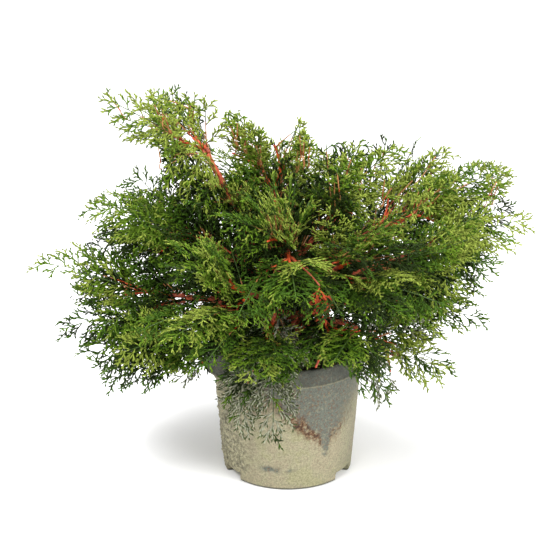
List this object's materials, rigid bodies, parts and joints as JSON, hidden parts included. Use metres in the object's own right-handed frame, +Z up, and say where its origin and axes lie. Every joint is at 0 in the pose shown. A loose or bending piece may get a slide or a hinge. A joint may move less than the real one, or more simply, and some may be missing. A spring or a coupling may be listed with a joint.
{
  "type": "potted dwarf hinoki cypress",
  "caption": "Low, wide, open evergreen conifer with flat fan-shaped sprays of scale foliage on arching boughs, growing from potting mix in a round plastic nursery pot.",
  "frame": {"origin": "centre of the pot's flat underside, where it stands on the floor", "axes": "+Z up, -Y towards the plant's front, +X to the right seen from the front, along the crown's longer side"},
  "size_m": [0.6373, 0.4933, 0.5119],
  "materials": {
    "pot_plastic": "grey moulded polypropylene under dry khaki mud",
    "potting_mix": "dark crumbly bark and peat",
    "trunk_bark": "rough red-brown stringy bark",
    "bough_bark": "smooth orange-brown young bark",
    "foliage": "satin scale leaves, yellow-green at the tips"
  },
  "bodies": {
    "root": {"pot": "pot_plastic", "soil": "potting_mix", "trunk": "trunk_bark", "bough_back": "bough_bark", "bough_back_left": "bough_bark", "bough_back_right": "bough_bark", "bough_back_top": "bough_bark", "bough_crest": "bough_bark", "bough_front": "bough_bark", "bough_front_high": "bough_bark", "bough_front_left": "bough_bark", "bough_front_right": "bough_bark", "bough_front_right_high": "bough_bark", "bough_left_far": "bough_bark", "bough_left_skirt": "bough_bark", "bough_left_upper": "bough_bark", "bough_right": "bough_bark", "bough_right_low": "bough_bark", "bough_right_skirt": "bough_bark", "bough_right_top": "bough_bark", "bough_top": "bough_bark", "bough_top_right": "bough_bark", "mass_back": "foliage", "mass_back_high": "foliage", "mass_back_left": "foliage", "mass_back_left_skirt": "foliage", "mass_back_right": "foliage", "mass_back_right_skirt": "foliage", "mass_back_skirt": "foliage", "mass_back_top": "foliage", "mass_crest_left": "foliage", "mass_crest_top": "foliage", "mass_front": "foliage", "mass_front_hem": "foliage", "mass_front_high": "foliage", "mass_front_left": "foliage", "mass_front_left_high": "foliage", "mass_front_mid": "foliage", "mass_front_right": "foliage", "mass_front_right_hem": "foliage", "mass_front_right_high": "foliage", "mass_front_right_mid": "foliage", "mass_left_back": "foliage", "mass_left_far": "foliage", "mass_left_hem": "foliage", "mass_left_low": "foliage", "mass_left_skirt": "foliage", "mass_left_upper": "foliage", "mass_right_crest": "foliage", "mass_right_far": "foliage", "mass_right_low": "foliage", "mass_right_mid": "foliage", "mass_right_skirt": "foliage", "mass_right_top": "foliage", "mass_top_left": "foliage", "mass_top_mid": "foliage", "mass_top_right": "foliage", "mass_top_spike": "foliage"}
  },
  "joints": []
}
